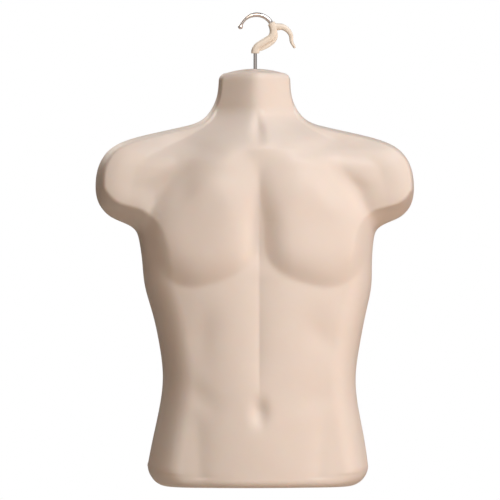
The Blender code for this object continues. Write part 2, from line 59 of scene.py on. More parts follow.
mm = 0.001
print("frame loaded:", ", ".join(sorted(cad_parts)))


def hexColour(text):  # sRGB hex to linear, with alpha
    value = np.array([int(text[i:i + 2], 16) for i in (1, 3, 5)]) / 255
    linear = np.where(value <= 0.04045, value / 12.92, ((value + 0.055) / 1.055) ** 2.4)
    return (*linear.tolist(), 1.0)


def ease(value, low, high):  # 0 below low, 1 above high, soft S between
    share = np.clip((value - low) / (high - low), 0, 1)
    return share * share * (3 - 2 * share)


def throughPoints(stations, values):  # natural cubic through values at stations, as a function
    stations = np.asarray(stations, float)
    values = np.asarray(values, float).reshape(len(stations), -1)
    step = np.diff(stations)
    slope = np.diff(values, axis=0) / step[:, None]
    count = len(stations)
    matrix = np.eye(count)
    right = np.zeros_like(values)
    for i in range(1, count - 1):
        matrix[i, i - 1:i + 2] = step[i - 1], 2 * (step[i - 1] + step[i]), step[i]
        right[i] = 6 * (slope[i] - slope[i - 1])
    bend = np.linalg.solve(matrix, right)

    def curve(at):
        at = np.asarray(at, float)
        i = np.clip(np.searchsorted(stations, at) - 1, 0, count - 2)
        before = ((stations[i + 1] - at) / step[i])[..., None]
        after = 1 - before
        bow = bend[i] * (before ** 3 - before) + bend[i + 1] * (after ** 3 - after)
        out = values[i] * before + values[i + 1] * after + bow * step[i][..., None] ** 2 / 6
        return out[..., 0] if out.shape[-1] == 1 else out

    return curve


def lengthsAlong(points):  # distance from the first point to each point
    return np.concatenate([[0], np.cumsum(np.linalg.norm(np.diff(points, axis=0), axis=1))])


# A mesh from a grid of points, rows by columns. closedAcross joins the last column to the first.
# poles are points that close the first and last row with a fan.
def gridPiece(name, grid, closedAcross=False, poles=(None, None)):
    rows, columns = grid.shape[:2]
    index = np.arange(rows * columns).reshape(rows, columns)
    if closedAcross:
        index = np.hstack([index, index[:, :1]])
    quads = np.stack([index[:-1, :-1], index[:-1, 1:], index[1:, 1:], index[1:, :-1]], -1).reshape(-1, 4)
    points = grid.reshape(-1, 3)
    faces = quads.tolist()
    for pole, row in ((poles[0], index[0][::-1]), (poles[1], index[-1])):
        if pole is not None:
            tip = len(points)
            points = np.vstack([points, pole])
            faces += [(int(a), int(b), tip) for a, b in zip(row[:-1], row[1:])]
    mesh = bpy.data.meshes.new(name)
    mesh.from_pydata(points.tolist(), [], faces)
    mesh.shade_smooth()
    piece = bpy.data.objects.new(name, mesh)
    bpy.context.scene.collection.objects.link(piece)
    return piece


def weld(piece, distance=0.004 * mm):  # joins points that lie together and turns the faces outwards
    work = bmesh.new()
    work.from_mesh(piece.data)
    bmesh.ops.remove_doubles(work, verts=work.verts, dist=distance)
    bmesh.ops.recalc_face_normals(work, faces=work.faces)
    work.to_mesh(piece.data)
    work.free()
    piece.data.shade_smooth()


def bakeModifiers(piece, *helpers):  # the evaluated mesh becomes the piece's own; helpers go
    bpy.context.view_layer.update()
    graph = bpy.context.evaluated_depsgraph_get()
    mesh = bpy.data.meshes.new_from_object(piece.evaluated_get(graph))
    piece.modifiers.clear()
    piece.data = mesh
    for helper in helpers:
        bpy.data.objects.remove(helper)
    mesh.shade_smooth()


# A tube along a path in the XZ plane. Across is in the plane, depth along Y, and the section is a
# superellipse of the given power. roundEnds adds domes of that length, which close each end in a pole.
def sweep(name, path, halfAcross, halfDepth, sides, power=2.0, roundEnds=(0, 0)):
    path = np.asarray(path, float)
    halfAcross = np.broadcast_to(halfAcross, len(path)).astype(float)
    halfDepth = np.broadcast_to(halfDepth, len(path)).astype(float)
    tangent = np.gradient(path, axis=0)
    tangent /= np.linalg.norm(tangent, axis=1)[:, None]
    domeRows = 8
    steps = np.linspace(0, math.pi / 2, domeRows + 1)[1:]  # a dome: in by cosine, out by sine
    inward = np.cos(steps)
    outward = np.sin(steps)
    startOut = path[0] - tangent[0] * (roundEnds[0] * outward)[::-1, None]
    endOut = path[-1] + tangent[-1] * (roundEnds[1] * outward)[:, None]
    path = np.vstack([startOut, path, endOut])
    tangent = np.vstack([np.repeat(tangent[:1], domeRows, 0), tangent, np.repeat(tangent[-1:], domeRows, 0)])
    shrink = np.concatenate([inward[::-1], np.ones(len(halfAcross)), inward])
    shrink = np.maximum(shrink, 0.002)  # the last ring stays open for the pole's fan
    across = np.concatenate([[halfAcross[0]] * domeRows, halfAcross, [halfAcross[-1]] * domeRows]) * shrink
    depth = np.concatenate([[halfDepth[0]] * domeRows, halfDepth, [halfDepth[-1]] * domeRows]) * shrink
    side = np.stack([-tangent[:, 2], 0 * tangent[:, 0], tangent[:, 0]], -1)
    angle = np.arange(sides) * 2 * math.pi / sides
    cosine = np.sign(np.cos(angle)) * np.abs(np.cos(angle)) ** (2 / power)
    sine = np.sign(np.sin(angle)) * np.abs(np.sin(angle)) ** (2 / power)
    grid = (path[:, None] + side[:, None] * np.outer(across, cosine)[..., None]
            - np.array([0.0, 1.0, 0.0]) * np.outer(depth, sine)[..., None])
    return gridPiece(name, grid, True, (path[0], path[-1]))


def turnedRings(outline, sides):  # every (radius, height) point as a ring round the Z axis
    outline = np.asarray(outline, float)
    angle = np.arange(sides) * 2 * math.pi / sides
    return np.stack([np.outer(outline[:, 0], np.cos(angle)), np.outer(outline[:, 0], np.sin(angle)),
                     np.repeat(outline[:, 1:2], sides, 1)], -1)


# A shape of revolution: the (radius, height) outline carried round the axis through the centre.
def turnedPiece(name, outline, sides, centre=(0, 0, 0), axis=(0, 0, 1)):
    grid = turnedRings(outline, sides)
    turn = np.array(Vector(axis).to_track_quat("Z", "Y").to_matrix())
    return gridPiece(name, grid @ turn.T + np.array(centre), True)


# A closed (radius, height) outline with every corner rounded: a quadratic bend that starts and ends the
# given distance from the corner.
def roundedOutline(corners, radius):
    corners = np.asarray(corners, float)
    out = []
    for before, at, after in zip(np.roll(corners, 1, 0), corners, np.roll(corners, -1, 0)):
        inDir = (before - at) / np.linalg.norm(before - at)
        outDir = (after - at) / np.linalg.norm(after - at)
        for share in np.linspace(0, 1, 5):
            a, b = at + inDir * radius, at + outDir * radius
            out.append((1 - share) ** 2 * a + 2 * share * (1 - share) * at + share ** 2 * b)
    return np.array(out + out[:1])


def newMaterial(name):  # the material, its node tree and its shader
    material = bpy.data.materials.new(name)
    material.use_nodes = True
    return material, material.node_tree, material.node_tree.nodes["Principled BSDF"]


# Adds a node. settings are its properties, inputs its socket values, links its incoming sockets.
def addNode(tree, kind, settings=None, links=None, **inputs):
    node = tree.nodes.new(kind)
    for key, value in (settings or {}).items():
        setattr(node, key, value)
    for key, value in inputs.items():
        node.inputs[key.replace("_", " ")].default_value = value
    for key, source in (links or {}).items():
        tree.links.new(source, node.inputs[key])
    return node


fleshLook = {
    "base": "#E6DCD3",        # the moulded-in pigment
    "warmer": "#E0D3C8",      # where the pigment gathers
    "grainSize": 0.45 * mm,   # spark-eroded mould grain; drawn this coarse so that it shows
    "mottleSize": 60 * mm,
    "grainBump": 0.10,
    "roughness": 0.46,
    "roughSpread": 0.05,      # up and down from that, over the grain
    "specular": 0.3,
    "glow": 0.20,             # light that enters the translucent wall and comes out redder
    "glowReach": (1.0, 0.45, 0.25),
    "glowScale": 6 * mm,
}


# Moulded polyethylene with pigment in it: satin, a fine mould grain, and slow changes of tone.
def makeFlesh():
    look = fleshLook
    material, tree, shader = newMaterial("mouldedPolyethylene")
    place = addNode(tree, "ShaderNodeTexCoord").outputs["Object"]
    mottle = addNode(tree, "ShaderNodeTexNoise", None, {"Vector": place}, Scale=1 / look["mottleSize"],
                     Detail=3.0)
    tone = addNode(tree, "ShaderNodeMix", {"data_type": "RGBA"}, {"Factor": mottle.outputs["Fac"]})
    tone.inputs[6].default_value = hexColour(look["base"])
    tone.inputs[7].default_value = hexColour(look["warmer"])
    tree.links.new(tone.outputs[2], shader.inputs["Base Color"])
    grain = addNode(tree, "ShaderNodeTexNoise", None, {"Vector": place}, Scale=1 / look["grainSize"],
                    Detail=2.0)
    rough = addNode(tree, "ShaderNodeMapRange", None, {"Value": grain.outputs["Fac"]})
    rough.inputs["To Min"].default_value = look["roughness"] - look["roughSpread"]
    rough.inputs["To Max"].default_value = look["roughness"] + look["roughSpread"]
    tree.links.new(rough.outputs["Result"], shader.inputs["Roughness"])
    bump = addNode(tree, "ShaderNodeBump", None, {"Height": grain.outputs["Fac"]},
                   Strength=look["grainBump"], Distance=0.1 * mm)
    tree.links.new(bump.outputs["Normal"], shader.inputs["Normal"])
    shader.inputs["IOR"].default_value = 1.51
    shader.inputs["Specular IOR Level"].default_value = look["specular"]
    shader.inputs["Subsurface Weight"].default_value = look["glow"]
    shader.inputs["Subsurface Radius"].default_value = look["glowReach"]
    shader.inputs["Subsurface Scale"].default_value = look["glowScale"]
    return material


chromeLook = {
    "base": "#E2D8D2",
    "roughness": 0.07,
    "streakRough": (-0.03, 0.06),  # what the streaks add, least and most
    "streakSize": 0.8 * mm,
}


# Chrome plate on bent steel: a mirror with faint polishing streaks.
def makeChrome():
    look = chromeLook
    material, tree, shader = newMaterial("chromePlate")
    place = addNode(tree, "ShaderNodeTexCoord").outputs["Object"]
    streak = addNode(tree, "ShaderNodeTexNoise", None, {"Vector": place}, Scale=1 / look["streakSize"],
                     Detail=4.0)
    rough = addNode(tree, "ShaderNodeMapRange", None, {"Value": streak.outputs["Fac"]})
    rough.inputs["To Min"].default_value = look["roughness"] + look["streakRough"][0]
    rough.inputs["To Max"].default_value = look["roughness"] + look["streakRough"][1]
    tree.links.new(rough.outputs["Result"], shader.inputs["Roughness"])
    shader.inputs["Base Color"].default_value = hexColour(look["base"])
    shader.inputs["Metallic"].default_value = 1.0
    return material


creamLook = {
    "base": "#EBE2D5",
    "warmer": "#E6DAC9",
    "roughness": 0.36,
    "grainSize": 0.5 * mm,
    "grainBump": 0.08,
    "flowSize": 9 * mm,
}


# Injection-moulded polypropylene, cream: a soft gloss, with faint flow marks.
def makeCream():
    look = creamLook
    material, tree, shader = newMaterial("mouldedPolypropylene")
    place = addNode(tree, "ShaderNodeTexCoord").outputs["Object"]
    flow = addNode(tree, "ShaderNodeTexNoise", None, {"Vector": place}, Scale=1 / look["flowSize"],
                   Detail=3.0, Distortion=0.6)
    tone = addNode(tree, "ShaderNodeMix", {"data_type": "RGBA"}, {"Factor": flow.outputs["Fac"]})
    tone.inputs[6].default_value = hexColour(look["base"])
    tone.inputs[7].default_value = hexColour(look["warmer"])
    tree.links.new(tone.outputs[2], shader.inputs["Base Color"])
    grain = addNode(tree, "ShaderNodeTexNoise", None, {"Vector": place}, Scale=1 / look["grainSize"],
                    Detail=2.0)
    bump = addNode(tree, "ShaderNodeBump", None, {"Height": grain.outputs["Fac"]},
                   Strength=look["grainBump"], Distance=0.1 * mm)
    tree.links.new(bump.outputs["Normal"], shader.inputs["Normal"])
    shader.inputs["Roughness"].default_value = look["roughness"]
    shader.inputs["IOR"].default_value = 1.49
    return material


zincLook = {
    "base": "#B9BCC0",
    "duller": "#9DA1A6",
    "roughness": 0.32,
    "patchRough": (-0.08, 0.10),  # what the patches add, least and most
    "patchSize": 3 * mm,
}


# Bright zinc plate: a greyish metal with cloudy patches.
def makeZinc():
    look = zincLook
    material, tree, shader = newMaterial("zincPlate")
    place = addNode(tree, "ShaderNodeTexCoord").outputs["Object"]
    patch = addNode(tree, "ShaderNodeTexNoise", None, {"Vector": place}, Scale=1 / look["patchSize"],
                    Detail=4.0)
    tone = addNode(tree, "ShaderNodeMix", {"data_type": "RGBA"}, {"Factor": patch.outputs["Fac"]})
    tone.inputs[6].default_value = hexColour(look["base"])
    tone.inputs[7].default_value = hexColour(look["duller"])
    tree.links.new(tone.outputs[2], shader.inputs["Base Color"])
    rough = addNode(tree, "ShaderNodeMapRange", None, {"Value": patch.outputs["Fac"]})
    rough.inputs["To Min"].default_value = look["roughness"] + look["patchRough"][0]
    rough.inputs["To Max"].default_value = look["roughness"] + look["patchRough"][1]
    tree.links.new(rough.outputs["Result"], shader.inputs["Roughness"])
    shader.inputs["Metallic"].default_value = 1.0
    return material


nylonLook = {"base": "#DAD9D0", "warmer": "#CFCDC0", "roughness": 0.45, "cloudSize": 2 * mm}


# Natural nylon: milky white, satin.
def makeNylon():
    look = nylonLook
    material, tree, shader = newMaterial("naturalNylon")
    place = addNode(tree, "ShaderNodeTexCoord").outputs["Object"]
    cloud = addNode(tree, "ShaderNodeTexNoise", None, {"Vector": place}, Scale=1 / look["cloudSize"],
                    Detail=2.0)
    tone = addNode(tree, "ShaderNodeMix", {"data_type": "RGBA"}, {"Factor": cloud.outputs["Fac"]})
    tone.inputs[6].default_value = hexColour(look["base"])
    tone.inputs[7].default_value = hexColour(look["warmer"])
    tree.links.new(tone.outputs[2], shader.inputs["Base Color"])
    shader.inputs["Roughness"].default_value = look["roughness"]
    shader.inputs["IOR"].default_value = 1.53
    return material


cameraLook = {
    "azimuth": -4.5,       # degrees; below zero is towards the viewer's left
    "elevation": 0.0,
    "distance": 9.0,       # metres, far enough that the outline hardly tapers
    "seenWidth": 0.700,    # metres across the picture at the stem
    "stemRight": 7.3 * mm,   # the stem stands this far right of the picture's middle
    "hookAbove": 326.1 * mm,  # the hook bow's underside above the picture's middle
}


# The camera stands back along its azimuth and elevation from a point beside and below the hook's bow, and
# its lens is the sensor's width times the distance over the width it should see.
def makeCamera():
    look = cameraLook
    azimuth, elevation = math.radians(look["azimuth"]), math.radians(look["elevation"])
    back = Vector((math.sin(azimuth) * math.cos(elevation), -math.cos(azimuth) * math.cos(elevation),
                   math.sin(elevation)))
    right = Vector((math.cos(azimuth), math.sin(azimuth), 0))
    aim = -right * look["stemRight"] - Vector((0, 0, look["hookAbove"]))
    camera = bpy.data.objects.new("camera", bpy.data.cameras.new("camera"))
    camera.location = aim + back * look["distance"]
    camera.rotation_euler = back.to_track_quat("Z", "Y").to_euler()
    camera.data.lens = camera.data.sensor_width * look["distance"] / look["seenWidth"]
    camera.data.clip_end = 50
    bpy.context.scene.collection.objects.link(camera)
    bpy.context.scene.camera = camera


# The key is at the upper right, a warm one in front, a faint one low at the right, and one lights the back.
lightLook = {
    "key": {"from": (2.76, -4.06, 4.12), "size": 2.8, "power": 282, "colour": "#F4F9FF"},
    "front": {"from": (-0.30, -5.60, 2.90), "size": 2.8, "power": 136, "colour": "#FFEAD6"},
    "side": {"from": (3.00, -0.98, -0.44), "size": 1.0, "power": 30, "colour": "#FFDCC4"},
    "back": {"from": (-1.80, 4.20, 2.60), "size": 2.8, "power": 90, "colour": "#FFF6EC"},
}
backdropWhite = 1.0
roomGlow = {"colour": "#B0764C", "strength": 0.08}  # what the unlit room adds
# How bright the room is for reflections, from straight in front (0) to straight behind (1).
flags = [(0.0, 0.65), (0.07, 0.60), (0.17, 0.05), (0.34, 0.05), (0.45, 0.60), (0.60, 0.50), (0.72, 0.04),
         (1.0, 0.02)]


# Square lamps that face the body's middle, and a room that is white to the camera, striped from front to
# back for gloss, and a faint glow for everything else.
def makeLights():
    middle = Vector((0, 0, -0.33))  # of the whole piece
    for name, look in lightLook.items():
        light = bpy.data.lights.new(name, "AREA")
        light.energy = look["power"]
        light.size = look["size"]
        light.color = hexColour(look["colour"])[:3]
        lamp = bpy.data.objects.new(name, light)
        lamp.location = middle + Vector(look["from"])
        lamp.rotation_euler = Vector(look["from"]).to_track_quat("Z", "Y").to_euler()
        bpy.context.scene.collection.objects.link(lamp)
    world = bpy.data.worlds.new("studio")
    world.use_nodes = True
    tree = world.node_tree
    tree.nodes.clear()
    glow = addNode(tree, "ShaderNodeBackground", Color=hexColour(roomGlow["colour"]),
                   Strength=roomGlow["strength"])
    white = addNode(tree, "ShaderNodeBackground", Color=(1, 1, 1, 1), Strength=backdropWhite)
    direction = addNode(tree, "ShaderNodeTexCoord").outputs["Generated"]
    forward = addNode(tree, "ShaderNodeSeparateXYZ", None, {"Vector": direction}).outputs["Y"]
    behind = addNode(tree, "ShaderNodeMapRange", None, {"Value": forward})
    behind.inputs["From Min"].default_value = -1
    ramp = addNode(tree, "ShaderNodeValToRGB", None, {"Fac": behind.outputs["Result"]})
    stops = ramp.color_ramp.elements
    for place, bright in flags[1:-1]:
        stops.new(place)
    for stop, (place, bright) in zip(stops, flags):
        stop.position, stop.color = place, (bright, bright, bright, 1)
    studio = addNode(tree, "ShaderNodeBackground", None, {"Color": ramp.outputs[0]})
    path = addNode(tree, "ShaderNodeLightPath").outputs
    unseen = addNode(tree, "ShaderNodeMixShader", None, {0: path["Is Glossy Ray"], 1: glow.outputs[0],
                                                         2: studio.outputs[0]})
    mixed = addNode(tree, "ShaderNodeMixShader", None, {0: path["Is Camera Ray"], 1: unseen.outputs[0],
                                                        2: white.outputs[0]})
    addNode(tree, "ShaderNodeOutputWorld", None, {"Surface": mixed.outputs[0]})
    bpy.context.scene.world = world
    bpy.context.scene.view_settings.view_transform = "Standard"


floorLook = {"drop": 0.45, "radius": 3.2, "colour": "#CCC1B5"}  # drop is below the form's bottom


def makeFloor():  # a disc: rings of growing radius round a pole
    look = floorLook
    height = cadBox[0][2] - look["drop"]
    angle = np.arange(96) * 2 * math.pi / 96
    radius = np.linspace(0.02, 1, 12)[:, None] * look["radius"]
    grid = np.stack([radius * np.cos(angle), radius * np.sin(angle), 0 * radius + 0 * angle + height], -1)
    floor = gridPiece("floor", grid, True, ((0, 0, height), None))
    material, _, shader = newMaterial("paleFloor")
    shader.inputs["Base Color"].default_value = hexColour(look["colour"])
    shader.inputs["Roughness"].default_value = 0.8
    floor.data.materials.append(material)
    weld(floor)


torsoLow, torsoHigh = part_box("torso_shell")
torso = {
    "height": torsoHigh.z - torsoLow.z,
    "shoulder": 447 * mm,
    "neck": 100 * mm,
    "chest": 321 * mm,
    "waist": 268.6 * mm,
    "hip": 308 * mm,
    "rim": torsoHigh.y,           # the open back's plane
    "edge": 15 * mm,              # the widest outline's plane
    "draft": 5.0 * mm,            # the side walls close in by this much on their way back
    "neckDraft": 6.0 * mm,        # and those of the neck by this much more
    "wall": 2.6 * mm,
    "lip": 5.0 * mm,
    "bottomCorner": 28 * mm,
    "bottomEdge": 10 * mm,
    "capEdge": 11 * mm,
    "capRise": 6.0 * mm,
    "roundAt": (0, 0.45, 0.60, 0.66, 0.71, 0.77, 0.82, 1),    # shares of the height, and at each of them
    "roundWidth": (42, 40, 33, 26, 10, 8, 7, 4),              # the outline's rounding, how wide in mm, and
    "roundPower": (2.15, 2.15, 1.9, 1.25, 1.5, 2.0, 2.15, 2.15),  # how full: 1 a chamfer, 2 a quarter circle
    "roundDepth": 54 * mm,
    "neckRoundDepth": 20 * mm,
    "stumpSoftDepth": 9 * mm,     # a second, softer rounding on the stumps
    "stumpSoftWidth": 38 * mm,
    "crownAt": (0, 0.10, 0.26, 0.45, 0.62, 0.72, 0.82, 0.88, 0.93, 1.0),  # shares of the height, and there
    "crownHeight": (38, 39, 38, 38, 36, 36, 34, 33, 33, 33),  # the fullness before the rounding, in mm
    "neckRidge": 0.36,            # how round the ridge between the neck's two facets is
    "midFront": 40 * mm,          # the body's usual fullness, which the bottom and the cap are scaled by
    "rimRound": 3.2 * mm,
    "sway": 7.8 * mm,             # how far the waist's outline lies to the right
    "swayAt": (0, 0.10, 0.24, 0.40, 0.52, 0.62, 0.72, 1.0),   # shares of the height, and there the shares
    "swayShare": (0.62, 0.86, 1, 1, 0.62, 0.34, 0.08, 0),     # of the sway
    "bossRadius": 20 * mm,
    "bossDepth": 7.5 * mm,
    "holeRadius": 2.8 * mm,
    "holeReach": (10 * mm, -20 * mm),  # from above the cap to below the boss
    "rows": 196,
    "frontSteps": 64,
    "wallSteps": 7,
}


# The side outline from hip to neck as a smooth curve, and its length. Half widths go from one
# named width to the next, and heights are shares of the torso's height.
def sideCurve():
    hip, waist, chest = torso["hip"] / 2, torso["waist"] / 2, torso["chest"] / 2
    shoulder, neck = torso["shoulder"] / 2, torso["neck"] / 2
    top = 1 - (torso["capEdge"] + torso["capRise"]) / torso["height"]
    stations = [  # from width, to width, share between them, height
        (waist, hip, 1.0, torso["bottomCorner"] / torso["height"]),
        (waist, hip, 0.72, 0.103), (waist, hip, 0.25, 0.181), (waist, hip, 0.0, 0.256),
        (waist, chest, 0.20, 0.337), (waist, chest, 0.60, 0.421), (waist, chest, 0.93, 0.484),
        (waist, chest, 1.0, 0.533), (chest, shoulder, 0.05, 0.585), (chest, shoulder, 0.135, 0.613),
        (chest, shoulder, 0.35, 0.629), (chest, shoulder, 0.72, 0.648), (chest, shoulder, 0.94, 0.677),
        (chest, shoulder, 1.0, 0.725), (neck, shoulder, 0.967, 0.770), (neck, shoulder, 0.885, 0.805),
        (neck, shoulder, 0.733, 0.829), (neck, shoulder, 0.560, 0.843), (neck, shoulder, 0.288, 0.861),
        (neck, shoulder, 0.128, 0.879), (neck, shoulder, 0.050, 0.907), (neck, shoulder, 0.012, 0.937),
        (neck, shoulder, 0.0, top)]
    points = np.array([(low + (high - low) * share, height * torso["height"])
                       for low, high, share, height in stations])
    lengths = lengthsAlong(points)
    return throughPoints(lengths, points), lengths[-1]


# Distance from each place to a line of points, and the share of the line at its nearest point.
def nearestOnLine(across, up, line):
    nearest, share = np.full(across.shape, np.inf), np.zeros(across.shape)
    for i, (start, end) in enumerate(zip(line[:-1], line[1:])):
        run = end - start
        along = np.clip(((across - start[0]) * run[0] + (up - start[1]) * run[1]) / (run @ run), 0, 1)
        away = np.hypot(across - start[0] - along * run[0], up - start[1] - along * run[1])
        share = np.where(away < nearest, (i + along) / (len(line) - 1), share)
        nearest = np.minimum(nearest, away)
    return nearest, share


def mound(across, up, centre, reach):  # a bell, 1 at its centre
    return np.exp(-((across - centre[0]) / reach[0]) ** 2 - ((up - centre[1]) / reach[1]) ** 2)


# 1 along a smooth curve through the points, fading sideways over the width and out towards both ends.
# A power of 2 gives a rounded section, and 1 a sharp V.
def crease(across, up, points, width, power, fadeIn, fadeOut):
    points = np.array(points, float)
    lengths = lengthsAlong(points)
    line = throughPoints(lengths, points)(np.linspace(0, lengths[-1], 16))
    away, share = nearestOnLine(across, up, line)
    ends = ease(share, -0.02, fadeIn) * ease(1 - share, -0.02, fadeOut)
    return np.exp(-(away / width) ** power) * ends


# A raised lobe inside a rounded outline. outward is 0 at its centre and 1 at its outline, read at the angle
# of each place round the centre. Its section is (1 - outward ^ power) ^ 1.5: a low power gives a dome, and a
# high one a full lobe with a steep edge. The power may change with the angle and with outward.
def lobe(across, up, centre, outline, power):
    outline = np.array(outline, float) - centre
    angle = np.arctan2(outline[:, 1], outline[:, 0])
    order = np.argsort(angle)
    angle, radius = angle[order], np.hypot(*outline.T)[order]
    around = throughPoints(np.concatenate([angle[-3:] - 2 * np.pi, angle, angle[:3] + 2 * np.pi]),
                           np.concatenate([radius[-3:], radius, radius[:3]]))
    at = np.arctan2(up - centre[1], across - centre[0])
    outward = np.minimum(np.hypot(across - centre[0], up - centre[1]) / around(at), 1)
    return (1 - outward ** power(at, outward)) ** 1.5


body = {  # everything in millimetres on a body 447 wide and 585 tall, from its centre line and its bottom
    "pecCentre": (80, 372), "pecHeight": 14,
    "pecOutline": [(3, 440), (4, 386), (7, 342), (15, 312), (34, 295), (62, 284), (98, 278), (127, 288),
                   (146, 311), (155, 340), (155, 367), (146, 392), (128, 421), (104, 448), (80, 476),
                   (40, 486)],
    "deltoidCentre": (186, 424), "deltoidHeight": 9,
    "deltoidOutline": [(112, 452), (128, 428), (146, 400), (158, 378), (190, 362), (240, 380), (250, 424),
                       (230, 470), (190, 492), (140, 484)],
    "pecPower": (5.0, 2.2),       # below and at the sides, and towards the collar bone
    "deltoidPower": 3.0,
    "navel": (0, 106), "navelDepth": 7, "navelReach": (11, 18),
    "sternumDepth": (1.5, 5.0),   # at its top and lower down
}
# For each line: its height (below zero a groove), half width, section power, how far it fades in and out, and
# its course.
bodyLines = {
    "deltoidGroove": (-2.1, 18, 2, 0.6, 0.4, [(92, 456), (114, 441), (134, 417), (150, 388), (157, 366)]),
    "throat": (-6, 8, 1.8, 0.6, 0.5, [(0, 530), (0, 502), (0, 472)]),
    "hollowAboveClavicle": (-6, 13, 2, 0.5, 0.5, [(36, 467), (66, 470), (100, 477), (134, 489)]),
    "clavicle": (2.5, 14, 2, 0.5, 0.5, [(18, 453), (50, 456), (80, 461), (112, 470)]),
    "ribArch": (-2.2, 16, 2, 0.5, 0.5, [(44, 244), (72, 222), (98, 196), (116, 168)]),
    "iliacFurrow": (-2.6, 16, 2, 0.5, 0.5, [(118, 146), (98, 136), (74, 118), (50, 98)]),
    "groin": (-2.2, 14, 1.8, 0.5, 0.02, [(92, 122), (86, 70), (84, 12)]),
    "hipRidge": (3.0, 16, 2, 0.5, 0.02, [(112, 128), (124, 70), (128, 18)]),
    "rectusEdge": (-1.4, 16, 2, 0.5, 0.5, [(76, 268), (80, 205), (74, 140)]),
}


# Muscles and bones: lobes for the big muscles, lines between them, and folds down the middle that fade
# exponentially with the distance from it.
def bodyRelief(across, up):
    full, plain = body["pecPower"]

    def pecPower(angle, outward):  # full below and at the sides, a plainer slope towards the collar bone
        return full - (full - plain) * ease(np.sin(angle), 0.0, 0.9) * ease(outward, 0.0, 0.7)

    relief = body["pecHeight"] * lobe(across, up, body["pecCentre"], body["pecOutline"], pecPower)
    relief += body["deltoidHeight"] * lobe(across, up, body["deltoidCentre"], body["deltoidOutline"],
                                           lambda angle, outward: body["deltoidPower"])
    for height, width, power, fadeIn, fadeOut, course in bodyLines.values():
        relief += height * crease(across, up, course, width, power, fadeIn, fadeOut)
    shallow, deep = body["sternumDepth"]
    sternum = shallow + (deep - shallow) * ease(up, 470, 330)
    relief -= sternum * np.exp(-across / 13) * ease(up, 292, 330) * ease(-up, -478, -430)
    relief -= 2.6 * np.exp(-across / 10) * ease(up, 118, 160) * ease(-up, -312, -280)  # down the abdomen
    relief -= 4.5 * np.exp(-(across / 34) ** 1.4) * ease(up, 90, 190) * ease(-up, -450, -330)  # a wide valley
    relief -= body["navelDepth"] * mound(across, up, body["navel"], body["navelReach"])
    return relief


# How far the front stands before the outline's plane: a rounding along the whole outline (broad on the
# flanks, narrow on stumps and neck), a softer one on the stumps, a crown towards the centre line that turns
# into two facets on the neck, and the relief on top.
def frontDepth(across, up, outline):
    share = up / torso["height"]
    away = nearestOnLine(across, up, outline)[0]
    onNeck = ease(share, 0.80, 0.91)
    width = np.interp(share, torso["roundAt"], torso["roundWidth"]) * mm
    inside = np.clip(away / width, 0, 1)
    power = np.interp(share, torso["roundAt"], torso["roundPower"])
    rounding = (1 - (1 - inside) ** power) ** (1 / power)
    crownHeight = throughPoints(torso["crownAt"], np.array(torso["crownHeight"]) * mm)(share)
    chest, waist, hip, neck = (torso[key] / 2 for key in ("chest", "waist", "hip", "neck"))
    crownWidth = throughPoints([0, 0.256, 0.50, 0.70, 0.84, 1.0],
                               [hip, waist, chest, chest * 1.12, chest * 0.95, chest * 0.7])(share)
    crownWidth = crownWidth + (neck * 1.08 - crownWidth) * ease(share, 0.76, 0.90)
    aside = np.clip(across / crownWidth, 0, 1)
    roundCrown = (1 - aside ** 2) ** (1.05 + 0.45 * ease(share, 0.54, 0.66))
    ridge = torso["neckRidge"]
    pointedCrown = 1 - (np.sqrt(aside ** 2 + ridge ** 2) - ridge) / (math.sqrt(1 + ridge ** 2) - ridge)
    crown = crownHeight * (roundCrown + (pointedCrown - roundCrown) * onNeck)
    relief = bodyRelief(across * 447 / torso["shoulder"], share * 585) * mm * inside ** 0.5
    onStump = ease(share, 0.62, 0.70) * (1 - ease(share, 0.79, 0.86))
    soft = (1 - np.clip(away / torso["stumpSoftWidth"], 0, 1)) ** 2
    crown -= torso["stumpSoftDepth"] * onStump * soft * inside ** 0.5
    roundDepth = torso["roundDepth"] + (torso["neckRoundDepth"] - torso["roundDepth"]) * onNeck
    return roundDepth * rounding + crown + relief


# Every row of the skin, from the bottom's middle to the cap's middle: its half width, its height, the half
# width its front is read at, and how much of the front's depth it keeps.
def skinRows():
    hip, neck = torso["hip"] / 2, torso["neck"] / 2
    corner, edge, capEdge = torso["bottomCorner"], torso["bottomEdge"], torso["capEdge"]
    front = torso["roundDepth"] + torso["midFront"]

    def keepAt(height):  # the front's own rounding into the flat bottom
        up = np.minimum(height, edge)
        return 1 - (edge - np.sqrt(edge ** 2 - (edge - up) ** 2)) / front

    flat = np.linspace(0, 1, 20, endpoint=False)
    bottom = np.stack([(hip - corner) * flat, 0 * flat, 0 * flat + hip, keepAt(0 * flat) * flat], -1)
    turn = np.linspace(0, math.pi / 2, 22, endpoint=False)
    height = corner * (1 - np.cos(turn))
    cornerRows = np.stack([hip - corner * (1 - np.sin(turn)), height, 0 * turn + hip, keepAt(height)], -1)
    curve, length = sideCurve()
    fine = curve(np.linspace(0, length, 4000))
    step = np.gradient(fine, axis=0)
    turning = np.abs(np.diff(np.unwrap(np.arctan2(step[:, 1], step[:, 0])), prepend=math.pi / 2))
    measure = lengthsAlong(fine) + np.cumsum(turning) * torso["height"] / 16
    at = np.interp(np.linspace(0, measure[-1], torso["rows"]), measure, np.linspace(0, length, 4000))
    side = curve(at)
    sideRows = np.stack([side[:, 0], side[:, 1], side[:, 0], 0 * at + 1], -1)
    turn = np.linspace(0, math.pi / 2, 12)[1:]
    start = torso["height"] - capEdge - torso["capRise"]
    inset = capEdge * (1 - np.cos(turn))
    edgeRows = np.stack([neck - inset, start + capEdge * np.sin(turn), 0 * turn + neck, 1 - inset / front],
                        -1)
    share = np.linspace(1, 0, 16)[1:]
    capRows = np.stack([(neck - capEdge) * share, torso["height"] - torso["capRise"] * share ** 2,
                        0 * share + neck, (1 - capEdge / front) * share], -1)
    return np.vstack([bottom, cornerRows, sideRows, edgeRows, capRows])


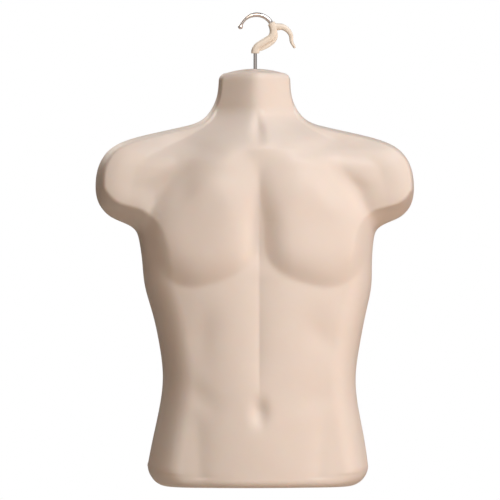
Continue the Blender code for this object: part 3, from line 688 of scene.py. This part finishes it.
# The sculpted body isn't quite the same left and right: the flanks lie a little to the right of the middle
# line, most at the waist. This gives the share of the sway at each height.
def swayShare(height):
    return throughPoints(torso["swayAt"], torso["swayShare"])(height / torso["height"])


# The outer skin: each row runs from the lip at one side of the open back, round the front, to the other
# lip. Half of it is worked out and mirrored. The rim is a quarter round between the side wall and the lip.
def torsoSkin():
    rows = skinRows()
    halfWidth, height, readWidth, keep = rows.T
    curve, length = sideCurve()
    side = curve(np.linspace(0, length, 260))
    outline = np.vstack([side[0] - (0, 0.2), side, side[-1] + (0, 0.2)])
    share = np.sin(np.linspace(0, 1, torso["frontSteps"] + 1) ** 1.2 * math.pi / 2)
    depth = frontDepth(np.outer(readWidth, share), height[:, None] + 0 * share, outline)
    depth[:, -1] = 0
    rimRound = torso["rimRound"]
    back = np.linspace(0, 1, torso["wallSteps"] + 1)[1:]
    draft = torso["draft"] * halfWidth / (torso["shoulder"] / 2)
    draft += torso["neckDraft"] * ease(height / torso["height"], 0.84, 0.91) * halfWidth / (torso["neck"] / 2)
    wallX = halfWidth[:, None] - np.outer(draft, back)
    wallY = np.broadcast_to(torso["edge"] + back * (torso["rim"] - rimRound - torso["edge"]), wallX.shape)
    heading = np.gradient(np.stack([halfWidth, height], 1), axis=0)
    heading /= np.linalg.norm(heading, axis=1)[:, None]
    inward = np.stack([-heading[:, 1], heading[:, 0]], 1)
    inward[0], inward[-1] = (0, 1), (0, -1)
    turn = np.linspace(0, math.pi / 2, 5)[1:]
    lipIn = np.concatenate([rimRound * (1 - np.cos(turn)), [torso["lip"] + torso["wall"]]])
    lipBack = np.concatenate([rimRound * (1 - np.sin(turn)), [0]])
    lipX = wallX[:, -1:] + inward[:, :1] * lipIn
    lipZ = height[:, None] + inward[:, 1:] * lipIn
    x = np.hstack([np.outer(halfWidth, share), wallX, lipX])
    y = np.hstack([torso["edge"] - depth * keep[:, None], wallY,
                   np.broadcast_to(torso["rim"] - lipBack, lipX.shape)])
    z = np.hstack([np.repeat(height[:, None], len(share) + len(back), 1), lipZ]) + torsoLow.z
    right = np.stack([x, y, z], -1)
    skin = np.concatenate([right[:, :0:-1] * (-1, 1, 1), right], 1)
    aside = np.clip(np.abs(skin[..., 0]) / np.maximum(halfWidth, mm)[:, None], 0, 1)
    skin[..., 0] += torso["sway"] * swayShare(height)[:, None] * aside ** 2
    return skin


# The skin gets its even wall on the inside, a disc is joined on under the cap as the boss, and the stem's
# hole is cut through both.
def makeTorso():
    piece = gridPiece("torsoShell", torsoSkin())
    weld(piece)
    if piece.data.polygons[0].normal.z > 0:  # the first faces are on the flat bottom
        piece.data.flip_normals()
    wall = piece.modifiers.new("wall", "SOLIDIFY")
    wall.thickness = torso["wall"]
    wall.offset = -1
    top = torsoHigh.z
    bossTop = -torso["wall"] * 0.6 - torso["capRise"] * 0.24  # inside the cap's wall all round
    radius, depth = torso["bossRadius"], torso["bossDepth"]
    boss = turnedPiece("boss", [(0, bossTop), (radius, bossTop), (radius, -depth), (0, -depth)], 96,
                       (0, 0, top))
    weld(boss)
    radius, reach = torso["holeRadius"], torso["holeReach"]
    hole = turnedPiece("hole", [(0, reach[0]), (radius, reach[0]), (radius, reach[1]), (0, reach[1])], 48,
                       (0, 0, top))
    weld(hole)
    for tool, operation in ((boss, "UNION"), (hole, "DIFFERENCE")):
        boolean = piece.modifiers.new(operation, "BOOLEAN")
        boolean.operation = operation
        boolean.solver = "EXACT"
        boolean.object = tool
    bakeModifiers(piece, boss, hole)
    piece.data.set_sharp_from_angle(angle=math.radians(50))
    piece.data.materials.append(makeFlesh())
    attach(piece, "torso")
    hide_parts("torso_shell")
    print("torso shell:", len(piece.data.polygons), "faces")


hook = {
    "stemRadius": 2.4 * mm,
    "bowRadius": 3.2 * mm,        # of the rod, over the top of the bow
    "tipRadius": 1.9 * mm,        # of the rod, at the ball
    "bow": 23.5 * mm,             # the bow's own radius
    "bowOffset": 2.0 * mm,
    "bend": 12 * mm,
    "slant": math.radians(32),
    "tipAngle": math.radians(157),
    "ballRadius": 3.4 * mm,
    "collarStep": 0.35 * mm,      # the ball's collar stands out from the rod by this much
    "collarLengths": (0.7 * mm, 0.9 * mm),  # to its bevel and to its end
    "collarBevel": 0.25 * mm,
    "domes": (1.2 * mm, 0.3 * mm),  # at the rod's tip and at the stem's end
}
bowZ = -math.sqrt((hook["bow"] - hook["bowRadius"]) ** 2 - hook["bowOffset"] ** 2)
bendTurn = math.pi / 2 - hook["slant"]
slantAcross = hook["bowOffset"] + hook["bow"] - 2 * hook["bend"] * (1 - math.cos(bendTurn))
bendEndZ = bowZ - 2 * hook["bend"] * math.sin(bendTurn) - slantAcross * math.tan(hook["slant"])
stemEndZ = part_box("hook_rod")[0].z


# The rod's centre line: round the bow, back through two bends with a slant between, down the stem.
def hookPath(startAngle, endZ, spacing=0.4 * mm):
    bow, bend = hook["bow"], hook["bend"]
    angle = np.linspace(startAngle, 0, max(3, int(bow * startAngle / spacing)), endpoint=False)
    arc = np.stack([hook["bowOffset"] + bow * np.cos(angle), 0 * angle, bowZ + bow * np.sin(angle)], -1)
    turn = np.linspace(0, bendTurn, int(bend * bendTurn / spacing))
    upper = np.stack([hook["bowOffset"] + bow - bend * (1 - np.cos(turn)), 0 * turn,
                      bowZ - bend * np.sin(turn)], -1)
    lower = np.stack([bend * (1 - np.cos(turn)), 0 * turn, bendEndZ + bend * np.sin(turn)], -1)[::-1]
    slant = np.linspace(upper[-1], lower[0], int(slantAcross / spacing))[1:-1]
    stem = np.linspace(lower[-1], (0, 0, endZ), max(2, int((bendEndZ - endZ) / spacing)))[1:]
    return np.vstack([arc, upper, slant, lower, stem])


# Thin at the ball, thickest over the top of the bow, stem size from the lower bend down.
def rodRadius(path):
    overTop = ease(path[:, 0] - hook["bowOffset"], -hook["bow"], 0)
    bow = hook["tipRadius"] + (hook["bowRadius"] - hook["tipRadius"]) * overTop
    below = ease(-path[:, 2], -bowZ, -bendEndZ - hook["bend"] * math.sin(bendTurn))
    return bow + (hook["stemRadius"] - bow) * below


def makeRod():  # a round tube along the hook's path, domed at both ends
    path = hookPath(hook["tipAngle"], stemEndZ)
    radius = rodRadius(path)
    piece = sweep("hookRod", path, radius, radius, 48, roundEnds=hook["domes"])
    weld(piece)
    piece.data.materials.append(makeChrome())
    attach(piece, "hook")
    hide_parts("hook_rod")
    print("hook rod:", len(piece.data.polygons), "faces")


# A ball down to where it meets its collar, then the collar with a bevelled end, turned round the direction
# that the rod ends in.
def makeBall():
    path = hookPath(hook["tipAngle"], stemEndZ)
    axis = path[0] - path[1]
    axis /= np.linalg.norm(axis)
    radius = hook["ballRadius"]
    collar = hook["tipRadius"] + hook["collarStep"]
    toBevel, toEnd = hook["collarLengths"]
    angle = np.linspace(math.pi / 2, -math.acos(collar / radius), 40)
    low = radius * math.sin(-math.acos(collar / radius))
    outline = [(radius * math.cos(a), radius * math.sin(a)) for a in angle]
    outline += [(collar, low - toBevel), (collar - hook["collarBevel"], low - toEnd), (0, low - toEnd)]
    centre = path[0] + axis * (-low + 0.3 * mm)  # the rod's tip ends in the collar
    piece = turnedPiece("tipBall", outline, 56, centre, axis)
    weld(piece)
    piece.data.set_sharp_from_angle(angle=math.radians(45))
    piece.data.materials.append(makeChrome())
    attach(piece, "hook")
    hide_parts("tip_ball")


sleeve = {
    "halfWidth": 5.2 * mm,
    "footHalfWidth": 5.7 * mm,
    "halfDepth": 4.8 * mm,
    "startAngle": math.radians(30),
    "footStraight": 1.2 * mm,
    "webOut": 6.9 * mm,           # the web's middle, out from the rod's centre line
    "webHalfWidth": 2.9 * mm,
    "webHalfDepth": 1.7 * mm,
    "webFrom": 0.22,              # where it starts and how far it goes, as shares of the sleeve's length
    "webSpan": 0.70,
    "armReach": 29.8 * mm,
    "armDrop": 28.6 * mm,
    "armRise": 6.6 * mm,
    "armCourse": [(0.0, 0.0), (0.20, 0.0), (0.40, 0.0), (0.57, -0.08), (0.73, -0.23), (0.83, -0.43),
                  (0.85, -0.68), (0.91, -0.85), (1.0, -1.0)],  # shares of its reach and of its drop
    "armRoot": (5.7 * mm, 3.9 * mm),  # half its depth and half its thickness
    "armTip": (1.9 * mm, 1.9 * mm),
    "voxel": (0.34 * mm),
    "smoothing": 10,
}


# Three closed tubes, the sleeve, its web and the arm, melted into one skin and smoothed, so that
# the arm grows out of the sleeve with a fillet.
def makeSleeve():
    path = hookPath(sleeve["startAngle"], bendEndZ - sleeve["footStraight"])
    foot = ease(-path[:, 2], -bendEndZ - hook["bend"] * 0.85, -bendEndZ)
    across = sleeve["halfWidth"] + (sleeve["footHalfWidth"] - sleeve["halfWidth"]) * foot
    body = sweep("linkSleeve", path, across, sleeve["halfDepth"], 48, 2.5, roundEnds=(0.5 * mm, 0.3 * mm))

    tangent = np.gradient(path, axis=0)
    tangent /= np.linalg.norm(tangent, axis=1)[:, None]
    outer = np.stack([-tangent[:, 2], 0 * tangent[:, 0], tangent[:, 0]], -1)
    along = lengthsAlong(path) / lengthsAlong(path)[-1]
    swell = np.sin(np.pi * np.clip((along - sleeve["webFrom"]) / sleeve["webSpan"], 0, 1)) ** 0.45
    keepRows = swell > 0.05
    webPath = (path + outer * (sleeve["webOut"] * swell)[:, None])[keepRows]
    web = sweep("web", webPath, sleeve["webHalfWidth"], sleeve["webHalfDepth"], 28, 3.0,
                roundEnds=(0.8 * mm, 0.8 * mm))

    rootX, rootZ = hook["bowOffset"] + hook["bow"], bowZ + sleeve["armRise"]
    points = np.array([(rootX + a * sleeve["armReach"], 0, rootZ + b * sleeve["armDrop"])
                       for a, b in sleeve["armCourse"]])
    lengths = lengthsAlong(points)
    armPath = throughPoints(lengths, points)(np.linspace(0, lengths[-1], 90))
    taper = np.linspace(0, 1, 90)
    halfAcross = sleeve["armRoot"][0] + (sleeve["armTip"][0] - sleeve["armRoot"][0]) * taper ** 0.8
    halfDepth = sleeve["armRoot"][1] + (sleeve["armTip"][1] - sleeve["armRoot"][1]) * taper
    arm = sweep("arm", armPath, halfAcross, halfDepth, 36, 2.3, roundEnds=(0, 1.2 * mm))

    joined = bmesh.new()
    for part in (body, web, arm):
        weld(part)
        joined.from_mesh(part.data)
    joined.to_mesh(body.data)
    joined.free()
    melt = body.modifiers.new("melt", "REMESH")
    melt.mode = "VOXEL"
    melt.voxel_size = sleeve["voxel"]
    soft = body.modifiers.new("soft", "SMOOTH")
    soft.factor = 0.5
    soft.iterations = sleeve["smoothing"]
    bakeModifiers(body, web, arm)
    body.data.materials.append(makeCream())
    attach(body, "hook")
    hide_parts("link_sleeve")
    print("link sleeve:", len(body.data.polygons), "faces")


fastener = {
    "edge": 0.2 * mm,             # the washer's rounded edges
    "hole": 2.7 * mm,             # radius through washer, nut and insert
    "nutChamfer": math.radians(30),
    "collarHeight": 1.5 * mm,     # the round collar under the nut's hexagon
    "collarWall": 0.6 * mm,
    "collarBevel": 0.35 * mm,
    "pocket": 1.9 * mm,           # how deep the insert's seat is
    "ringGap": 0.1 * mm,          # round the insert
    "ringEdge": 0.12 * mm,
}


def makeWasher():  # a rectangle with rounded corners, turned round the stem
    low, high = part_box("cap_washer")
    outline = roundedOutline([(high.x, high.z), (high.x, low.z), (fastener["hole"], low.z),
                              (fastener["hole"], high.z)], fastener["edge"])
    piece = turnedPiece("capWasher", outline, 96)
    weld(piece)
    piece.data.set_sharp_from_angle(angle=math.radians(60))
    piece.data.materials.append(makeZinc())
    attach(piece, "hook")
    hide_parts("cap_washer")


# A hexagon whose corners are cut back by a cone at both ends: at each height and angle the radius is
# the smaller of the hexagon's and the cone's.
def makeNut():
    low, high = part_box("lock_nut")
    flats = (high.y - low.y) / 2
    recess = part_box("nut_insert")[1].x + fastener["ringGap"]
    collar = recess + fastener["collarWall"]
    hexTop, hexLow = high.z, low.z + fastener["collarHeight"]
    sides = 144
    angle = np.arange(sides) * 2 * math.pi / sides
    hexagon = flats / np.cos((angle + math.pi / 6) % (math.pi / 3) - math.pi / 6)
    heights = np.linspace(hexTop, hexLow, 28)
    cone = np.minimum(heights[0] - heights, heights - heights[-1]) / math.tan(fastener["nutChamfer"])
    radius = np.minimum(hexagon[None, :], (flats * 0.99 + cone)[:, None])
    side = np.stack([radius * np.cos(angle), radius * np.sin(angle), np.repeat(heights[:, None], sides, 1)],
                    -1)
    hole = fastener["hole"]
    topOutline = [(hole, hexTop), (flats * 0.985, hexTop)]
    bevel = fastener["collarBevel"]
    floor = low.z + fastener["pocket"]
    lowOutline = [(collar, hexLow), (collar, low.z + bevel), (collar - bevel, low.z), (recess, low.z),
                  (recess, floor), (hole, floor), (hole, hexTop)]
    piece = gridPiece("lockNut", np.vstack([turnedRings(topOutline, sides), side,
                                             turnedRings(lowOutline, sides)]), True)
    weld(piece)
    piece.data.set_sharp_from_angle(angle=math.radians(35))
    piece.data.materials.append(makeZinc())
    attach(piece, "hook")
    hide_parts("lock_nut")


def makeInsert():  # a rectangle with rounded corners, turned round the stem
    low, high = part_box("nut_insert")
    gap, hole = fastener["ringGap"], fastener["hole"]
    outline = roundedOutline([(high.x - gap, high.z), (high.x - gap, low.z + gap), (hole, low.z + gap),
                              (hole, high.z)], fastener["ringEdge"])
    piece = turnedPiece("nutInsert", outline, 72)
    weld(piece)
    piece.data.materials.append(makeNylon())
    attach(piece, "hook")
    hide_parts("nut_insert")


makeCamera()
makeLights()
makeFloor()
print("camera, lights and floor placed")
makeTorso()
makeRod()
makeBall()
makeSleeve()
makeWasher()
makeNut()
makeInsert()
print("pieces made")
